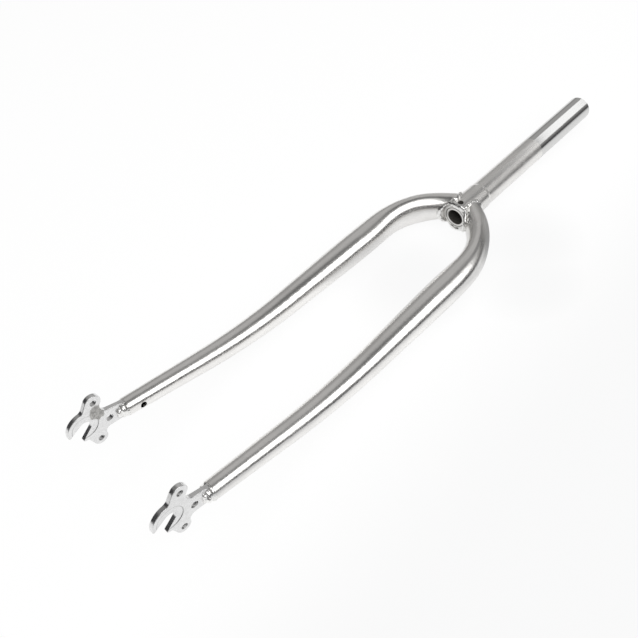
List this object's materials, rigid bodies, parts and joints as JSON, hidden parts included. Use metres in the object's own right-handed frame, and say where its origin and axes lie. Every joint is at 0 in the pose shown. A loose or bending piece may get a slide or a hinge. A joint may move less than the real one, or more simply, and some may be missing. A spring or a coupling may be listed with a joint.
{
  "type": "bicycle fork",
  "caption": "Rigid welded steel bicycle fork with a one-inch steerer, curved-in oval crown, tapered raked blades and slotted dropouts with eyelets.",
  "frame": {"origin": "on the steerer axis at the top edge of the crown race seat", "axes": "X up the steerer, Y to the rider's right, Z to the front of the fork; it lies on its back"},
  "size_m": [0.624, 0.1274, 0.0801],
  "materials": {
    "steerer_steel": "satin plating, bright over the top stretch",
    "blade_steel": "satin to bright plating",
    "dropout_steel": "bright plating over stamped plate",
    "weld_steel": "plated weld metal"
  },
  "bodies": {
    "root": {"steerer_tube": "steerer_steel", "left_blade": "blade_steel", "right_blade": "blade_steel", "left_dropout": "dropout_steel", "right_dropout": "dropout_steel", "left_crown_weld": "weld_steel", "right_crown_weld": "weld_steel", "left_dropout_weld": "weld_steel", "right_dropout_weld": "weld_steel"}
  },
  "joints": []
}
